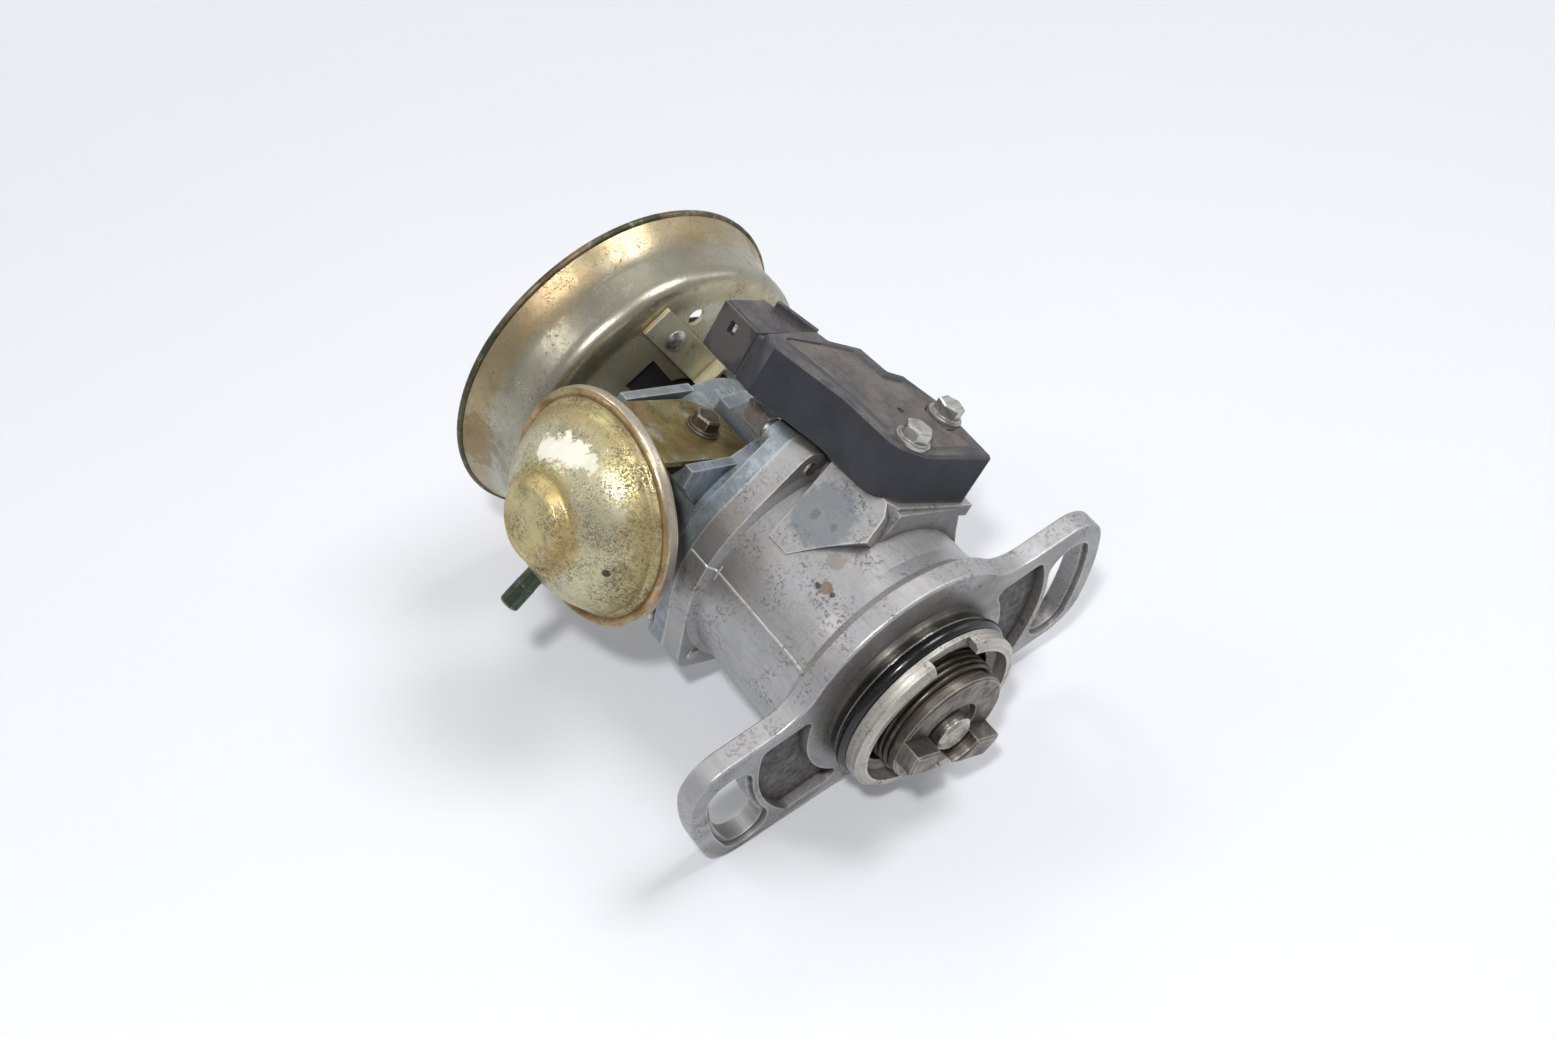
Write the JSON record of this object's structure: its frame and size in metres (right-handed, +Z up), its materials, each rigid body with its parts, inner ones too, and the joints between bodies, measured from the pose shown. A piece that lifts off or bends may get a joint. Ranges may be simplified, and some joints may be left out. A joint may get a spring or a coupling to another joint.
{
  "type": "ignition distributor",
  "caption": "Engine-driven ignition distributor body with offset drive coupling, slotted flange, vacuum advance unit, ignition module and cap-side metal shield.",
  "frame": {"origin": "centre of the mounting flange's front face on the shaft axis", "axes": "+X along the shaft out of the drive end, +Z up through the ignition module, +Y to the side away from the vacuum unit"},
  "size_m": [0.1441, 0.1277, 0.1089],
  "materials": {
    "cast_alloy": "cast, dull",
    "yellow_zinc": "yellow zinc plated sheet, worn",
    "bright_steel": "zinc plated",
    "dark_steel": "dark plated",
    "steel": "machined, oiled",
    "black_plastic": "moulded, dusty",
    "brown_plastic": "moulded",
    "rubber": "soft",
    "bronze": "sintered",
    "brass": "plain",
    "board": "circuit board"
  },
  "bodies": {
    "housing": {"lower_housing": "cast_alloy", "upper_housing": "cast_alloy", "joint_screws": "bright_steel", "o_ring": "rubber", "shaft_bushes": "bronze", "shaft_seal": "rubber", "upper_bush": "bronze", "plate_clip": "bright_steel", "dust_cover": "black_plastic", "shield_dish": "yellow_zinc", "shield_bracket": "yellow_zinc", "shield_rivets": "bright_steel", "vacuum_cover": "yellow_zinc", "vacuum_back": "yellow_zinc", "hose_nipple": "dark_steel", "vacuum_bracket": "yellow_zinc", "bracket_bolt": "dark_steel", "vacuum_spring": "bright_steel", "module_case": "black_plastic", "module_board": "board", "module_lid": "black_plastic", "module_terminals": "brass", "module_bolts": "bright_steel"},
    "shaft": {"drive_shaft": "steel", "drive_coupling": "steel", "coupling_pin": "steel", "retaining_spring": "dark_steel", "thrust_washers": "steel", "carrier_plate": "steel", "weight_pins": "steel", "advance_springs": "bright_steel"},
    "sleeve": {"timing_sleeve": "steel", "reluctor": "steel", "rotor_arm": "brown_plastic", "rotor_contact": "brass"},
    "weight_a": {"weight_a": "steel"},
    "weight_b": {"weight_b": "steel"},
    "pickup": {"pickup_plate": "steel", "pickup_coil": "black_plastic", "pickup_pole": "steel"},
    "rod": {"pull_rod": "bright_steel", "diaphragm": "rubber", "diaphragm_cups": "bright_steel"}
  },
  "joints": [
    {"name": "shaft_spin", "type": "hinge", "parent": "housing", "child": "shaft", "pos_m": [0, 0, 0], "axis": [1, 0, 0], "continuous": true},
    {"name": "advance", "type": "hinge", "parent": "shaft", "child": "sleeve", "pos_m": [0, 0, 0], "axis": [1, 0, 0], "range_deg": [0, 12], "stiffness_Nm_per_rad": 0.12, "springref_deg": -20.05, "deforming": ["advance_springs"]},
    {"name": "weight_a_swing", "type": "hinge", "parent": "shaft", "child": "weight_a", "pos_m": [-0.0305, 0.0165, 0], "axis": [-1, 0, 0], "range_deg": [0, 12]},
    {"name": "weight_b_swing", "type": "hinge", "parent": "shaft", "child": "weight_b", "pos_m": [-0.0305, -0.0165, 0], "axis": [-1, 0, 0], "range_deg": [0, 12]},
    {"name": "plate_turn", "type": "hinge", "parent": "housing", "child": "pickup", "pos_m": [-0.073, 0, 0], "axis": [1, 0, 0], "range_deg": [0, 10]},
    {"name": "vacuum_pull", "type": "slide", "parent": "housing", "child": "rod", "axis": [0, -0.9848, -0.1736], "range_m": [0, 0.00264], "stiffness_N_per_m": 60, "springref_m": -0.002, "deforming": ["vacuum_spring"]}
  ],
  "couplings": [
    {"joint": "weight_a_swing", "follows": "advance", "ratio": 1},
    {"joint": "weight_b_swing", "follows": "advance", "ratio": 1},
    {"joint": "plate_turn", "follows": "vacuum_pull", "rad_per_m": 66.225}
  ]
}
